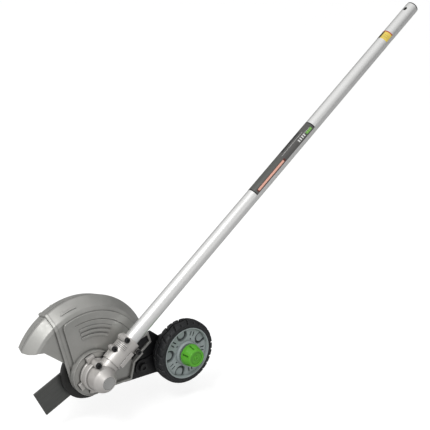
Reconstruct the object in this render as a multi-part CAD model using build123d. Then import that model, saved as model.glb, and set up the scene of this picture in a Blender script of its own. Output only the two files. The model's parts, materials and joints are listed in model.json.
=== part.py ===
from build123d import *

import math
import os

# Stick-edger attachment. Origin: centre of the shaft tube's top end.
# +X runs back and up along the shaft, -Y is the gear case and wheel side, +Z is up.
# The head is drawn about its own centre, where the blade axis crosses the shaft axis,
# and moved to its place when each piece is written.

# ---------------------------------------------------------------- driving dimensions (mm)
SHAFT_TILT = 37.5
SHAFT_LENGTH = 977.0
TUBE_R = 13.0
TUBE_BORE_R = 11.4
TUBE_FOOT = 44.0
INSERT_DEPTH = 87.0
LABEL_DEPTH = 0.2
LABEL_PROUD = 0.2
YELLOW_LABEL_LENGTH = 22.0
MAIN_LABEL_START = 437.0
MAIN_LABEL_END = 621.0
LOCK_SLOT_R = 3.5
LOCK_SLOT_LENGTH = 9.5
LOCK_SLOT_FROM_END = 18.0
LOCK_SLOT_TURN = 5.0
RUNNING_FIT = 0.05

DRIVE_SHAFT_R = 4.0
GEAR_PITCH_R = 15.0
PINION_PITCH_R = 10.0
GEAR_TEETH = 18
PINION_TEETH = 12
TOOTH_WIDTH = 6.0

BLADE_LENGTH = 203.2
BLADE_WIDTH = 50.8
BLADE_THICKNESS = 3.0
BLADE_Y = 46.0
BLADE_ANGLE = 25.0

PANEL_Y = 24.5
PANEL_R = 110.5
FACE_Y = 28.5
FACE_R = 111.5
WALL = 2.5
RING_R = 41.2
RING_Y = 16.0
BAND_INNER_R = 117.7
BAND_INNER_Y = 31.5
GUARD_R = 131.7
BAND_OUTER_Y = 54.0
GUARD_BACK_R = 124.5
GUARD_BACK_Y = 82.0

FLOOR_Y = 28.0

PIVOT_X = 108.0
PIVOT_Z = -28.0
WHEEL_X = 188.4
WHEEL_Z = -12.8
TYRE_R = 61.5
TYRE_SHOULDER_R = 57.0
WHEEL_NEAR_Y = -1.5
WHEEL_FAR_Y = 27.0
RIM_R = 49.5
AXLE_R = 5.0
SLEEVE_R = 8.0
ARM_NEAR_Y = 28.9
ARM_FAR_Y = 31.9
PLATE_NEAR_Y = 32.4
PLATE_FAR_Y = 36.4
SLOT_ANGLES = (-16.0, 33.0)

# ---------------------------------------------------------------- derived values
TILT = math.radians(SHAFT_TILT)
UP_SHAFT = Vector(math.cos(TILT), 0, math.sin(TILT))
ABOVE_SHAFT = Vector(-math.sin(TILT), 0, math.cos(TILT))
HEAD = Location(UP_SHAFT * -SHAFT_LENGTH)
SHAFT_PLANE = Plane(origin=(0, 0, 0), x_dir=ABOVE_SHAFT, z_dir=UP_SHAFT)
ARM_LENGTH = math.hypot(WHEEL_X - PIVOT_X, WHEEL_Z - PIVOT_Z)
ARM_ANGLE = math.degrees(math.atan2(WHEEL_Z - PIVOT_Z, WHEEL_X - PIVOT_X))


# ---------------------------------------------------------------- shape helpers
def turned(points, rounding=None):
    """Solid of revolution about Y from (y, radius) corners; rounding maps a corner to its radius."""
    section = make_face(Polyline(*[(radius, y) for y, radius in points], close=True))
    for corner, fillet_r in (rounding or {}).items():
        y, radius = corner
        nearest = min(section.vertices(), key=lambda v: math.hypot(v.X - radius, v.Y - y))
        section = fillet(nearest, fillet_r)
    return revolve(section, axis=Axis.Y)


def on_shaft(points):
    """Solid of revolution about the shaft axis from (distance up the shaft, radius) corners."""
    outline = Polyline(*[(radius, 0, along) for along, radius in points], close=True)
    return SHAFT_PLANE.location * revolve(make_face(outline), axis=Axis.Z)


def disc(y_near, y_far, radius, x=0.0, z=0.0):
    """Cylinder along Y."""
    middle = (y_near + y_far) / 2
    return Pos(x, middle, z) * Rot(90, 0, 0) * Cylinder(radius, y_far - y_near)


def slab(sketch, y_near, y_far):
    """Flat piece with its outline drawn in X and Z."""
    return extrude(Plane.XZ.offset(-y_far) * sketch, amount=y_far - y_near)


def outline(*points):
    return make_face(Polyline(*points, close=True))


def shaft_point(along, above=0.0):
    """X and Z of a place given along and above the shaft axis."""
    spot = UP_SHAFT * along + ABOVE_SHAFT * above
    return spot.X, spot.Z


def around(x, z, angle, radius):
    return x + radius * math.cos(math.radians(angle)), z + radius * math.sin(math.radians(angle))


def socket_screw(x, z, y_face, head_r, head_height, shank_r, shank_length):
    """Socket-head screw along Y, its head standing on y_face towards -Y."""
    screw = disc(y_face - head_height, y_face, head_r, x, z)
    screw += disc(y_face, y_face + shank_length, shank_r, x, z)
    socket = slab(Pos(x, z) * RegularPolygon(head_r * 0.52, 6), y_face - head_height,
                  y_face - head_height * 0.35)
    return screw - socket


def hex_nut(x, z, y_near, y_far, across_corners_r, bore_r):
    nut = slab(Pos(x, z) * RegularPolygon(across_corners_r, 6), y_near, y_far)
    return nut - disc(y_near - 1, y_far + 1, bore_r, x, z)


def bevel_gear(pitch_r, mate_r, teeth, bore_r, back, first_tooth):
    """Straight bevel gear on the Z axis with its pitch apex at the origin, facing the origin."""
    cone = math.hypot(pitch_r, mate_r)
    half_angle = math.atan2(pitch_r, mate_r)
    module = 2 * pitch_r / teeth
    addendum = 0.62 * module
    dedendum = 0.95 * module
    inner_share = (cone - TOOTH_WIDTH) / cone
    generator = Vector(math.sin(half_angle), 0, math.cos(half_angle))
    outward = Vector(math.cos(half_angle), 0, -math.sin(half_angle))
    pitch_point = generator * cone
    root = pitch_point - outward * dedendum
    inner_root = root * inner_share
    heel = root.Z + back
    blank = revolve(
        make_face(Polyline((bore_r, 0, inner_root.Z), (inner_root.X, 0, inner_root.Z),
                           (root.X, 0, root.Z), (root.X, 0, heel), (bore_r, 0, heel), close=True)),
        axis=Axis.Z,
    )
    foot_half = 0.30 * math.pi * module
    tip_half = 0.10 * math.pi * module
    sink = 0.35 * module

    def section(share):
        low = (pitch_point - outward * (dedendum + sink)) * share
        high = (pitch_point + outward * addendum) * share
        side_low = Vector(0, foot_half * share, 0)
        side_high = Vector(0, tip_half * share, 0)
        return make_face(Polyline(low - side_low, high - side_high, high + side_high, low + side_low,
                                  close=True))

    tooth = loft([section(1.0), section(inner_share)])
    gear = blank
    for index in range(teeth):
        gear += Rot(0, 0, first_tooth + index * 360 / teeth) * tooth
    return gear


# ---------------------------------------------------------------- shaft
def shaft_tube():
    label_top = SHAFT_LENGTH - INSERT_DEPTH
    recess_r = TUBE_R - LABEL_DEPTH
    tube = on_shaft([
        (TUBE_FOOT, TUBE_BORE_R), (TUBE_FOOT, TUBE_R), (MAIN_LABEL_START, TUBE_R),
        (MAIN_LABEL_START, recess_r), (MAIN_LABEL_END, recess_r), (MAIN_LABEL_END, TUBE_R),
        (label_top - YELLOW_LABEL_LENGTH, TUBE_R), (label_top - YELLOW_LABEL_LENGTH, recess_r),
        (label_top, recess_r), (label_top, TUBE_R), (SHAFT_LENGTH, TUBE_R),
        (SHAFT_LENGTH, TUBE_BORE_R),
    ])
    # The lock slot is on the side turned up, a little towards the gear case.
    cut_depth = 8.0
    straight = LOCK_SLOT_LENGTH - 2 * LOCK_SLOT_R
    slot = Box(cut_depth, 2 * LOCK_SLOT_R, straight)
    for end in (-1, 1):
        slot += Pos(0, 0, end * straight / 2) * Rot(0, 90, 0) * Cylinder(LOCK_SLOT_R, cut_depth)
    slot_middle = SHAFT_LENGTH - LOCK_SLOT_FROM_END
    place = SHAFT_PLANE.location * Rot(0, 0, LOCK_SLOT_TURN) * Pos(TUBE_R, 0, slot_middle)
    return tube - place * slot


def label_sleeve(start, end):
    outside = TUBE_R + LABEL_PROUD
    return on_shaft([(start, TUBE_R - LABEL_DEPTH), (start, outside), (end, outside),
                     (end, TUBE_R - LABEL_DEPTH)])


def end_bushing():
    lip = SHAFT_LENGTH + 2.5
    bore = DRIVE_SHAFT_R + RUNNING_FIT
    return on_shaft([
        (SHAFT_LENGTH - 12, bore), (SHAFT_LENGTH - 12, TUBE_BORE_R), (SHAFT_LENGTH, TUBE_BORE_R),
        (SHAFT_LENGTH, TUBE_R - 0.1), (lip, TUBE_R - 0.4), (lip, 8.0), (lip - 3, 7.0), (lip - 3, bore),
    ])


def support_bushes():
    bore = DRIVE_SHAFT_R + RUNNING_FIT
    bushes = []
    for middle in (240.0, 500.0, 760.0):
        bushes.append(on_shaft([
            (middle - 12, bore), (middle - 12, 8), (middle - 9, TUBE_BORE_R), (middle + 9, TUBE_BORE_R),
            (middle + 12, 8), (middle + 12, bore),
        ]))
    return Compound(children=bushes)


def drive_shaft():
    square = 6.35
    shoulder = SHAFT_LENGTH - 0.3
    rod = on_shaft([(9.0, 0), (9.0, DRIVE_SHAFT_R), (shoulder, DRIVE_SHAFT_R), (shoulder, 0)])
    groove = on_shaft([(33.0, DRIVE_SHAFT_R - 0.6), (33.0, DRIVE_SHAFT_R + 1), (34.1, DRIVE_SHAFT_R + 1),
                       (34.1, DRIVE_SHAFT_R - 0.6)])
    end = SHAFT_PLANE.location * Pos(0, 0, shoulder) * Box(
        square, square, 8, align=(Align.CENTER, Align.CENTER, Align.MIN))
    return rod - groove + end


# ---------------------------------------------------------------- gear case
CASE_BACK_Y = 24.0
BARREL_R = 23.5
PLUG_R = 11.5
FLANGE_R = 29.0
CLAMP_START = 31.0
CLAMP_END = 83.0
CLAMP_R = 18.5
NECK_R = 16.5
SPLIT_GAP = 0.6
MAIN_BEARING_R = 14.0
NOSE_BEARING_R = 9.5
PINION_BEARING_R = 11.0
EAR_R = 5.0
EAR_BACK_Y = 6.0
# Each clamp screw: distance up the shaft, distance above it, and the y of its ear's face.
EAR_SCREWS = ((75.0, 18.5, -15.0), (75.0, -18.5, -15.0), (50.5, 19.5, -5.0))
GREASE_X, GREASE_Z = -5.0, 25.5
GREASE_FACE_Y = -7.5
# Each mounting lug: angle round the blade axis, outer radius and the y of its near face.
LUGS = ((107.0, 38.4, 8.0), (209.0, 35.0, 11.0), (262.0, 35.0, 12.0), (330.0, 35.0, 12.0))
LUG_ROOT_R = 20.0
LUG_WIDTH = 14.0
LUG_BOLT_R = 26.0
RECESS_GAP = 0.6
PLUG_BACK_Y = -30.0


def clamp_sleeve():
    """Solid outer form of the tube clamp, with its screw ears and the upper bar."""
    sleeve = on_shaft([(CLAMP_START, 0), (CLAMP_START, CLAMP_R), (CLAMP_END, CLAMP_R), (CLAMP_END, 0)])
    bar = [shaft_point(CLAMP_END - 13, -21), shaft_point(CLAMP_END - 3, -21),
           shaft_point(CLAMP_END - 3, 21), shaft_point(CLAMP_END - 13, 21)]
    sleeve += slab(outline(*bar), -11, EAR_BACK_Y)
    for along, above, face in EAR_SCREWS:
        x, z = shaft_point(along, above)
        sleeve -= disc(-30, face, EAR_R, x, z)
        sleeve += disc(face, EAR_BACK_Y, EAR_R, x, z)
    return sleeve


def tube_seat():
    """Everything the clamp leaves free for the tube, the pinion bearings and the shaft."""
    seat = on_shaft([(TUBE_FOOT, 0), (TUBE_FOOT, TUBE_R), (CLAMP_END + 1, TUBE_R), (CLAMP_END + 1, 0)])
    bore = on_shaft([
        (-2.0, 0), (-2.0, 12.5), (19.5, 12.5), (19.5, PINION_BEARING_R), (34.5, PINION_BEARING_R),
        (34.5, 8.0), (TUBE_FOOT + 1, 8.0), (TUBE_FOOT + 1, 0),
    ])
    return seat + bore


def near_half():
    """Block that covers everything on the near side of the clamp's split."""
    corners = [shaft_point(CLAMP_START, 45), shaft_point(CLAMP_END + 5, 45),
               shaft_point(CLAMP_END + 5, -45), shaft_point(CLAMP_START, -45)]
    return outline(*corners)


def lug_outline(angle, outer_r, grow=0.0):
    """Mounting lug seen along Y, its sides and end moved outwards by grow."""
    reach = outer_r + grow
    bar = Pos((reach + LUG_ROOT_R) / 2, 0) * Rectangle(reach - LUG_ROOT_R, LUG_WIDTH + 2 * grow)
    return Rot(0, 0, angle) * bar


def gear_case():
    body = turned([
        (CASE_BACK_Y, 0), (CASE_BACK_Y, FLANGE_R), (12.5, FLANGE_R), (11.5, FLANGE_R - 0.8), (1.5, 27.2),
        (0.5, 26.2), (0.5, BARREL_R), (-20, BARREL_R - 1), (-23.5, BARREL_R - 2.6),
        (-32.6, 12.6), (-32.6, 0),
    ])
    for angle, outer_r, near in LUGS:
        body += slab(lug_outline(angle, outer_r), near, CASE_BACK_Y)
    body += on_shaft([(14, 0), (14, NECK_R), (CLAMP_START, NECK_R), (CLAMP_START, 0)])
    body += disc(GREASE_FACE_Y, RING_Y - 1, 6.2, GREASE_X, GREASE_Z)
    body += clamp_sleeve() - slab(near_half(), -30, SPLIT_GAP / 2)
    body -= turned([
        (CASE_BACK_Y + 1, 0), (CASE_BACK_Y + 1, 12.5), (19.6, 12.5), (19.6, MAIN_BEARING_R),
        (11.3, MAIN_BEARING_R), (11.3, 19), (-18, 19), (-20, 17.5), (-20, NOSE_BEARING_R),
        (-26.5, NOSE_BEARING_R), (-26.5, 0),
    ])
    body -= disc(-33, PLUG_BACK_Y, PLUG_R + 0.1)
    body -= tube_seat()
    body -= disc(-8.5, 6.5, 2.5, GREASE_X, GREASE_Z)
    body -= disc(-20, GREASE_FACE_Y, 5.6, GREASE_X, GREASE_Z)
    for along, above, _ in EAR_SCREWS:
        body -= disc(-1, EAR_BACK_Y - 1, 2.5, *shaft_point(along, above))
    for angle, _, _ in LUGS:
        x, z = around(0, 0, angle, LUG_BOLT_R)
        body -= disc(16, CASE_BACK_Y + 1, 2.5, x, z)
    return body


def clamp_cover():
    cover = clamp_sleeve() & slab(near_half(), -30, -SPLIT_GAP / 2)
    rib_r = CLAMP_R + 1.2
    for along in (57.0, 60.0, 63.0, 66.0):
        rib_end = along + 1.6
        band = on_shaft([(along, CLAMP_R - 1), (along, rib_r), (rib_end, rib_r), (rib_end, CLAMP_R - 1)])
        rib_zone = [shaft_point(along - 1, 8), shaft_point(along + 3, 8), shaft_point(along + 3, 20),
                    shaft_point(along - 1, 20)]
        cover += band & slab(outline(*rib_zone), -22, -SPLIT_GAP / 2)
    pad = [shaft_point(CLAMP_START + 5, -4), shaft_point(CLAMP_END - 17, -4),
           shaft_point(CLAMP_END - 17, -12), shaft_point(CLAMP_START + 5, -12)]
    cover += slab(outline(*pad), -19.2, -14)
    cover -= on_shaft([(CLAMP_START - 1, 0), (CLAMP_START - 1, TUBE_R), (CLAMP_END + 1, TUBE_R),
                       (CLAMP_END + 1, 0)])
    for along, above, _ in EAR_SCREWS:
        cover -= disc(-20, 1, 2.5, *shaft_point(along, above))
    return cover


def clamp_screws():
    screws = []
    for along, above, face in EAR_SCREWS:
        x, z = shaft_point(along, above)
        screws.append(socket_screw(x, z, face, 4.6, 4.6, 2.5, EAR_BACK_Y - 1.5 - face))
    return Compound(children=screws)


def grease_screw():
    return socket_screw(GREASE_X, GREASE_Z, GREASE_FACE_Y, 5.0, 3.4, 2.5, 12.0)


def case_bolts():
    """Flange-head bolts from inside the guard into the case's four lugs."""
    bolts = []
    for angle, _, _ in LUGS:
        x, z = around(0, 0, angle, LUG_BOLT_R)
        bolts.append(disc(16, FLOOR_Y, 2.5, x, z) + disc(FLOOR_Y, FLOOR_Y + 2.2, 4.2, x, z))
    return Compound(children=bolts)


def ring_bearing(y_near, y_far, bore_r, outer_r):
    """Sealed ball bearing with its shield set back on both faces."""
    inner_land = bore_r + 1.4
    outer_land = outer_r - 1.4
    set_back = 0.5
    return turned([
        (y_near, bore_r), (y_near, inner_land), (y_near + set_back, inner_land),
        (y_near + set_back, outer_land), (y_near, outer_land), (y_near, outer_r), (y_far, outer_r),
        (y_far, outer_land), (y_far - set_back, outer_land), (y_far - set_back, inner_land),
        (y_far, inner_land), (y_far, bore_r),
    ])


def pinion_bearings():
    pair = []
    for start in (19.8, 27.1):
        pair.append(on_shaft([(start, DRIVE_SHAFT_R + RUNNING_FIT), (start, PINION_BEARING_R),
                              (start + 7, PINION_BEARING_R), (start + 7, DRIVE_SHAFT_R + RUNNING_FIT)]))
    return Compound(children=pair)


def circlip():
    ring = on_shaft([(34.6, DRIVE_SHAFT_R), (34.6, 6.4), (35.6, 6.4), (35.6, DRIVE_SHAFT_R)])
    opening = SHAFT_PLANE.location * Pos(6, 0, 35.1) * Box(8, 3, 2)
    return ring - opening


# ---------------------------------------------------------------- blade drive
SHAFT_R = 6.0
CUP_R = 54.0
OUTER_CUP_R = 34.0
OUTER_CUP_HEIGHT = 3.5


def output_shaft():
    return turned([
        (-26.2, 0), (-26.2, 3.0), (-20, 3.0), (-20, SHAFT_R), (38.0, SHAFT_R), (38.0, 5.0), (60.0, 5.0),
        (60.0, 0),
    ]) - keyway()


def keyway():
    return Pos(0, -14.5, SHAFT_R) * Box(3, 5.0, 3)


def gear_key():
    return Pos(0, -14.5, SHAFT_R) * Box(3, 5.0, 3)


def driven_gear():
    facing = Rot(90, 0, 0)
    # The tooth space, not a tooth, meets the pinion, which lies up the shaft.
    first = 360 / GEAR_TEETH / 2 + SHAFT_TILT
    gear = facing * bevel_gear(GEAR_PITCH_R, PINION_PITCH_R, GEAR_TEETH, SHAFT_R, 6.0, first)
    return gear - gear_key()


def pinion_gear():
    # Local X of the gear is above the shaft, so a quarter turn brings a tooth to the gear's side.
    gear = bevel_gear(PINION_PITCH_R, GEAR_PITCH_R, PINION_TEETH, DRIVE_SHAFT_R, 3.4, 90)
    return SHAFT_PLANE.location * gear


def oil_seal():
    return turned([(19.7, SHAFT_R + RUNNING_FIT), (19.7, 12.5), (23.7, 12.5), (23.7, SHAFT_R + RUNNING_FIT)])


def inner_cup():
    return turned([
        (33.6, SHAFT_R), (33.6, CUP_R - 3), (34.6, CUP_R), (41.0, CUP_R), (41.0, CUP_R - 2.5),
        (37.0, CUP_R - 5), (39.0, 24), (44.5, 20), (44.5, SHAFT_R - 1.0), (38.0, SHAFT_R - 1.0),
        (38.0, SHAFT_R),
    ])


def blade():
    plate = slab(Rot(0, 0, BLADE_ANGLE) * Rectangle(BLADE_LENGTH, BLADE_WIDTH),
                 BLADE_Y - BLADE_THICKNESS / 2, BLADE_Y + BLADE_THICKNESS / 2)
    return plate - disc(BLADE_Y - 5, BLADE_Y + 5, 5.0)


def outer_cup():
    near = BLADE_Y + BLADE_THICKNESS / 2
    far = near + OUTER_CUP_HEIGHT
    return turned([
        (near, 5.0), (near, OUTER_CUP_R), (near + 2, OUTER_CUP_R + 1), (far, OUTER_CUP_R - 3),
        (far - 1, 12), (far, 5.0),
    ])


def blade_nut():
    near = BLADE_Y + BLADE_THICKNESS / 2 + OUTER_CUP_HEIGHT
    return hex_nut(0, 0, near, near + 6.5, 9.5, 5.0)


# ---------------------------------------------------------------- guard
SEAM_TANGENT = 193.0
SEAM_LEAN = 13.0
REAR_ANGLE = 17.0
PANEL_EDGE = 14.0
BEAD_PROUD = 1.4
EXTENSION_WALL = 2.0
EXTENSION_OVERLAP = 12.0
SCREW_FROM_SEAM = 7.0
GROOVE_Y = 61.0
GROOVE_WIDTH = 1.4
GROOVE_R = 129.0
STRIP_WIDTH = 3.6


def guard_path(inset):
    """Section of the guard's wall, (y, radius) from the face to the back edge, moved inwards by inset."""
    path = [(FACE_Y, 20.0), (FACE_Y, FACE_R), (BAND_INNER_Y, BAND_INNER_R), (BAND_OUTER_Y, GUARD_R),
            (GUARD_BACK_Y, GUARD_BACK_R)]
    moved = [(FACE_Y + inset, path[0][1])]
    for before, here, after in zip(path, path[1:], path[2:]):
        turn_in = math.atan2(here[0] - before[0], here[1] - before[1])
        turn_out = math.atan2(after[0] - here[0], after[1] - here[1])
        reach = inset / math.cos((turn_out - turn_in) / 2)
        middle = (turn_in + turn_out) / 2
        moved.append((here[0] + reach * math.cos(middle), here[1] - reach * math.sin(middle)))
    last_turn = math.atan2(path[-1][0] - path[-2][0], path[-1][1] - path[-2][1])
    moved.append((path[-1][0] + inset * math.cos(last_turn), path[-1][1] - inset * math.sin(last_turn)))
    return moved


def guard_skin(inset, thickness):
    """Full ring of guard wall, its outer surface inset from the guard's outside."""
    outer = guard_path(inset)
    inner = guard_path(inset + thickness)
    rounding = {outer[2]: 6.0, outer[3]: 4.0}
    return turned(outer + list(reversed(inner)), rounding)


def edge_groove(inset):
    """Shallow groove round the guard's back slope, for a skin moved inwards by inset."""
    floor_r = GROOVE_R - inset
    clear_r = GUARD_R + 5
    return turned([(GROOVE_Y, floor_r), (GROOVE_Y, clear_r), (GROOVE_Y + GROOVE_WIDTH, clear_r),
                   (GROOVE_Y + GROOVE_WIDTH, floor_r)])


def seam_line(distance, shift=0.0):
    """Point on the guard's straight front edge, tangent to the boss ring, moved forwards by shift."""
    x, z = around(0, 0, SEAM_TANGENT, RING_R + shift)
    lean = math.radians(SEAM_LEAN)
    return x - distance * math.sin(lean), z + distance * math.cos(lean)


def arc_band(outer_r, width, start, end, near, far):
    """Stretch of a flat ring about the blade axis, between two angles."""
    ring = disc(near, far, outer_r) - disc(near - 1, far + 1, outer_r - width)
    reach = 4 * outer_r
    wedge = outline((0, 0), around(0, 0, start, reach), around(0, 0, (start + end) / 2, reach),
                    around(0, 0, end, reach))
    return ring & slab(wedge, near - 1, far + 1)


def panel_outline(edge):
    """Raised middle panel of the guard's face, its edge moved inwards by edge."""
    reach = 175.0
    zone = outline(seam_line(20, -PANEL_EDGE - edge), seam_line(reach, -PANEL_EDGE - edge), (reach, reach),
                   around(0, 0, REAR_ANGLE, reach), (0, 0))
    panel = zone & Circle(PANEL_R - edge)
    corner = max(panel.vertices(), key=lambda v: v.Y - 2 * v.X)
    return fillet(corner, 9.0 - edge)


def guard_shell():
    reach = 175.0
    rear = around(0, 0, REAR_ANGLE, reach)
    main_zone = outline(seam_line(0), seam_line(reach), (reach, reach), rear,
                        around(0, 0, REAR_ANGLE, 45), (0, 0))
    shell = (guard_skin(0, WALL) - edge_groove(0)) & slab(main_zone, 0, 100)
    seam_bead = outline(seam_line(0), seam_line(reach), seam_line(reach, -4.5), seam_line(0, -4.5))
    shell += guard_skin(-BEAD_PROUD, WALL + BEAD_PROUD) & slab(seam_bead, 0, 100)
    panel_wall = 2.5
    shell += slab(panel_outline(0), PANEL_Y, FACE_Y + WALL)
    shell -= slab(panel_outline(panel_wall), PANEL_Y + WALL, FACE_Y + WALL + 1)
    # Rear bracket: a plate with a rib along its lower edge and a window under the guard's rear edge.
    bracket = outline((0, -RING_R), (80, -RING_R), (88, -10), (128, 18), around(0, 0, REAR_ANGLE, 128),
                      around(0, 0, REAR_ANGLE, 45), (0, 0))
    shell += slab(bracket, BRACKET_NEAR_Y, PLATE_NEAR_Y)
    window = outline((84, -10 + STRIP_WIDTH), (88, -10 + STRIP_WIDTH), (128 - STRIP_WIDTH, 20.0),
                     around(0, 0, REAR_ANGLE - 1.5, 124), around(0, 0, REAR_ANGLE - 1.5, 86))
    shell -= slab(window, BRACKET_NEAR_Y - 1, PLATE_NEAR_Y + 1)
    lip = outline((100, -1.6), (128, 18), (128 - STRIP_WIDTH, 20.0), (97, 1.0))
    shell += slab(lip, BRACKET_NEAR_Y - 0.8, PLATE_NEAR_Y)
    edge_rib = outline((0, -RING_R), (80, -RING_R), (88, -10), (106, 2.6), (104.2, 5.2), (85.1, -8.2),
                       (77.5, -RING_R + 3.2), (0, -RING_R + 3.2))
    shell += slab(edge_rib, 22.5, PLATE_NEAR_Y)
    # Boss ring, its recess shaped to the gear case's flange and lugs, with the floor they bolt to.
    shell += disc(RING_Y, FACE_Y + WALL, RING_R)
    shell += disc(RING_Y - 0.7, RING_Y, RING_R) - disc(RING_Y - 1, RING_Y, RING_R - 1.4)
    shell -= disc(RING_Y - 1, CASE_BACK_Y, FLANGE_R + RECESS_GAP)
    for angle, outer_r, _ in LUGS:
        shell -= slab(lug_outline(angle, outer_r, RECESS_GAP), RING_Y - 1, CASE_BACK_Y)
    shell -= disc(FLOOR_Y, 60, RING_R - 4)
    # Fine line and plain raised bars on the panel.
    shell -= arc_band(97.5, 1.4, 34, 107, PANEL_Y - 1, PANEL_Y + 0.8)
    for radius in (87.0, 79.0, 71.0):
        shell += arc_band(radius, 4.6, 60, 104, PANEL_Y - 1.4, PANEL_Y + 1)
    # Arrow on the band, for the way the blade turns.
    arrow_head = outline(around(0, 0, 113, 122.4), around(0, 0, 109, 123.6), around(0, 0, 110, 126.4))
    arrow = slab(arrow_head, 0, 100) + arc_band(123.6, 1.4, 98, 112, 0, 60)
    shell += guard_skin(-0.8, WALL) & arrow
    shell -= disc(-10, 60, 17.0)
    shell -= on_shaft([(20, 0), (20, CLAMP_R + 1), (95, CLAMP_R + 1), (95, 0)])
    for angle, _, _ in LUGS:
        shell -= disc(0, 60, 2.5, *around(0, 0, angle, LUG_BOLT_R))
    for x, z in PLATE_BOLTS:
        shell -= disc(BRACKET_NEAR_Y + 1, 60, 3.0, x, z)
    for x, z in extension_screw_places():
        shell -= disc(FACE_Y + 0.8, FACE_Y + 8, 2.0, x, z)
    return shell


def extension_screw_places():
    """Three screws through the overlap of the two guard shells."""
    return [seam_line(distance, -SCREW_FROM_SEAM) for distance in (52.0, 74.0, 96.0)]


def front_extension():
    overlap = -EXTENSION_OVERLAP
    tip_angle = 153.0
    zone = outline(
        seam_line(38, overlap), seam_line(160, overlap), seam_line(190, 60), around(0, 0, tip_angle, 165),
        around(0, 0, tip_angle, 128), (-108, 57), (-95, 59.5), (-85, 58), (-48, 27),
    )
    shell = (guard_skin(WALL, EXTENSION_WALL) - edge_groove(WALL)) & slab(zone, 0, 100)
    for x, z in extension_screw_places():
        shell -= disc(FACE_Y, FACE_Y + 10, 2.0, x, z)
    return shell


def extension_screws():
    """Screws from inside the guard, blind in the main shell."""
    back = FACE_Y + WALL + EXTENSION_WALL
    screws = []
    for x, z in extension_screw_places():
        screws.append(disc(FACE_Y + 0.8, back, 2.0, x, z) + disc(back, back + 1.6, 3.6, x, z))
    return Compound(children=screws)


# ---------------------------------------------------------------- wheel carrier
PLATE_BOLTS = ((68.0, -31.0), (74.0, 4.0))
PLATE_EDGE = 11.0
BRACKET_NEAR_Y = 28.4


def depth_plate():
    slot_low, slot_high = SLOT_ANGLES
    top_x, top_z = around(PIVOT_X, PIVOT_Z, slot_high, ARM_LENGTH)
    fan = [around(PIVOT_X, PIVOT_Z, angle, ARM_LENGTH + PLATE_EDGE)
           for angle in (slot_low - 12, slot_low + 7, slot_high - 21, slot_high - 4)]
    corners = [(58, -38), (72, -48), (140, -50), *fan, (top_x + 4, top_z + 11), (148, 22), (130, 37),
               (110, 31.5), (62, 10)]
    plate = slab(outline(*corners), PLATE_NEAR_Y, PLATE_FAR_Y)
    half_width = AXLE_R + 0.5
    arc = CenterArc((PIVOT_X, PIVOT_Z), ARM_LENGTH, slot_low, slot_high - slot_low)
    plate -= slab(SlotArc(arc, 2 * half_width), PLATE_NEAR_Y - 1, PLATE_FAR_Y + 1)
    plate -= disc(PLATE_NEAR_Y - 1, PLATE_FAR_Y + 1, 6.0, PIVOT_X, PIVOT_Z)
    for x, z in PLATE_BOLTS:
        plate -= disc(PLATE_NEAR_Y - 1, PLATE_FAR_Y + 1, 3.0, x, z)
    return plate


def plate_bolts():
    """Button-head bolts from the far side, blind in the bracket."""
    bolts = []
    for x, z in PLATE_BOLTS:
        bolt = disc(BRACKET_NEAR_Y + 1.2, PLATE_FAR_Y, 3.0, x, z)
        bolt += disc(PLATE_FAR_Y, PLATE_FAR_Y + 3.2, 5.0, x, z)
        socket = slab(Pos(x, z) * RegularPolygon(2.8, 6), PLATE_FAR_Y + 1.2, PLATE_FAR_Y + 4)
        bolts.append(bolt - socket)
    return Compound(children=bolts)


def pivot_bolt():
    bolt = disc(23.6, 28.6, 8.0, PIVOT_X, PIVOT_Z) + disc(28.6, 42.0, 6.0, PIVOT_X, PIVOT_Z)
    return bolt - slab(Pos(PIVOT_X, PIVOT_Z) * RegularPolygon(4.2, 6), 23, 26.5)


def pivot_nut():
    return hex_nut(PIVOT_X, PIVOT_Z, PLATE_FAR_Y, PLATE_FAR_Y + 5, 7.2, 6.0)


def wheel_arm():
    head_r = 15.0
    tip_r = 13.0
    bar = Pos(ARM_LENGTH / 2, 0) * Rectangle(ARM_LENGTH, 2 * tip_r) + Circle(head_r)
    bar += Pos(ARM_LENGTH, 0) * Circle(tip_r)
    shape = slab(Pos(PIVOT_X, PIVOT_Z) * Rot(0, 0, ARM_ANGLE) * bar, ARM_NEAR_Y, ARM_FAR_Y)
    shape -= disc(ARM_NEAR_Y - 1, ARM_FAR_Y + 1, 6.0 + RUNNING_FIT, PIVOT_X, PIVOT_Z)
    return shape - disc(ARM_NEAR_Y - 1, ARM_FAR_Y + 1, AXLE_R, WHEEL_X, WHEEL_Z)


def axle_bolt():
    return disc(-24, PLATE_FAR_Y + 0.5, AXLE_R, WHEEL_X, WHEEL_Z) + disc(
        PLATE_FAR_Y + 0.5, PLATE_FAR_Y + 5.5, 9.5, WHEEL_X, WHEEL_Z)


def axle_sleeve():
    sleeve = disc(-5.8, ARM_NEAR_Y, SLEEVE_R, WHEEL_X, WHEEL_Z)
    return sleeve - disc(-7, ARM_NEAR_Y + 1, AXLE_R, WHEEL_X, WHEEL_Z)


def knob_washer():
    return disc(-7.8, -5.8, 12.0, WHEEL_X, WHEEL_Z) - disc(-9, -4, AXLE_R, WHEEL_X, WHEEL_Z)


# ---------------------------------------------------------------- wheel
POCKETS = 5
SPOKE_ANGLE = -4.0
TREAD_BLOCKS = 22


def at_wheel(shape):
    return Pos(WHEEL_X, 0, WHEEL_Z) * shape


def pocket_outline(radius, middle_r):
    """Round-ended pocket on the local X axis, open to the rim."""
    return Pos(middle_r, 0) * Circle(radius) + Pos((middle_r + RIM_R - 2) / 2, 0) * Rectangle(
        RIM_R - 2 - middle_r, 2 * radius)


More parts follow.
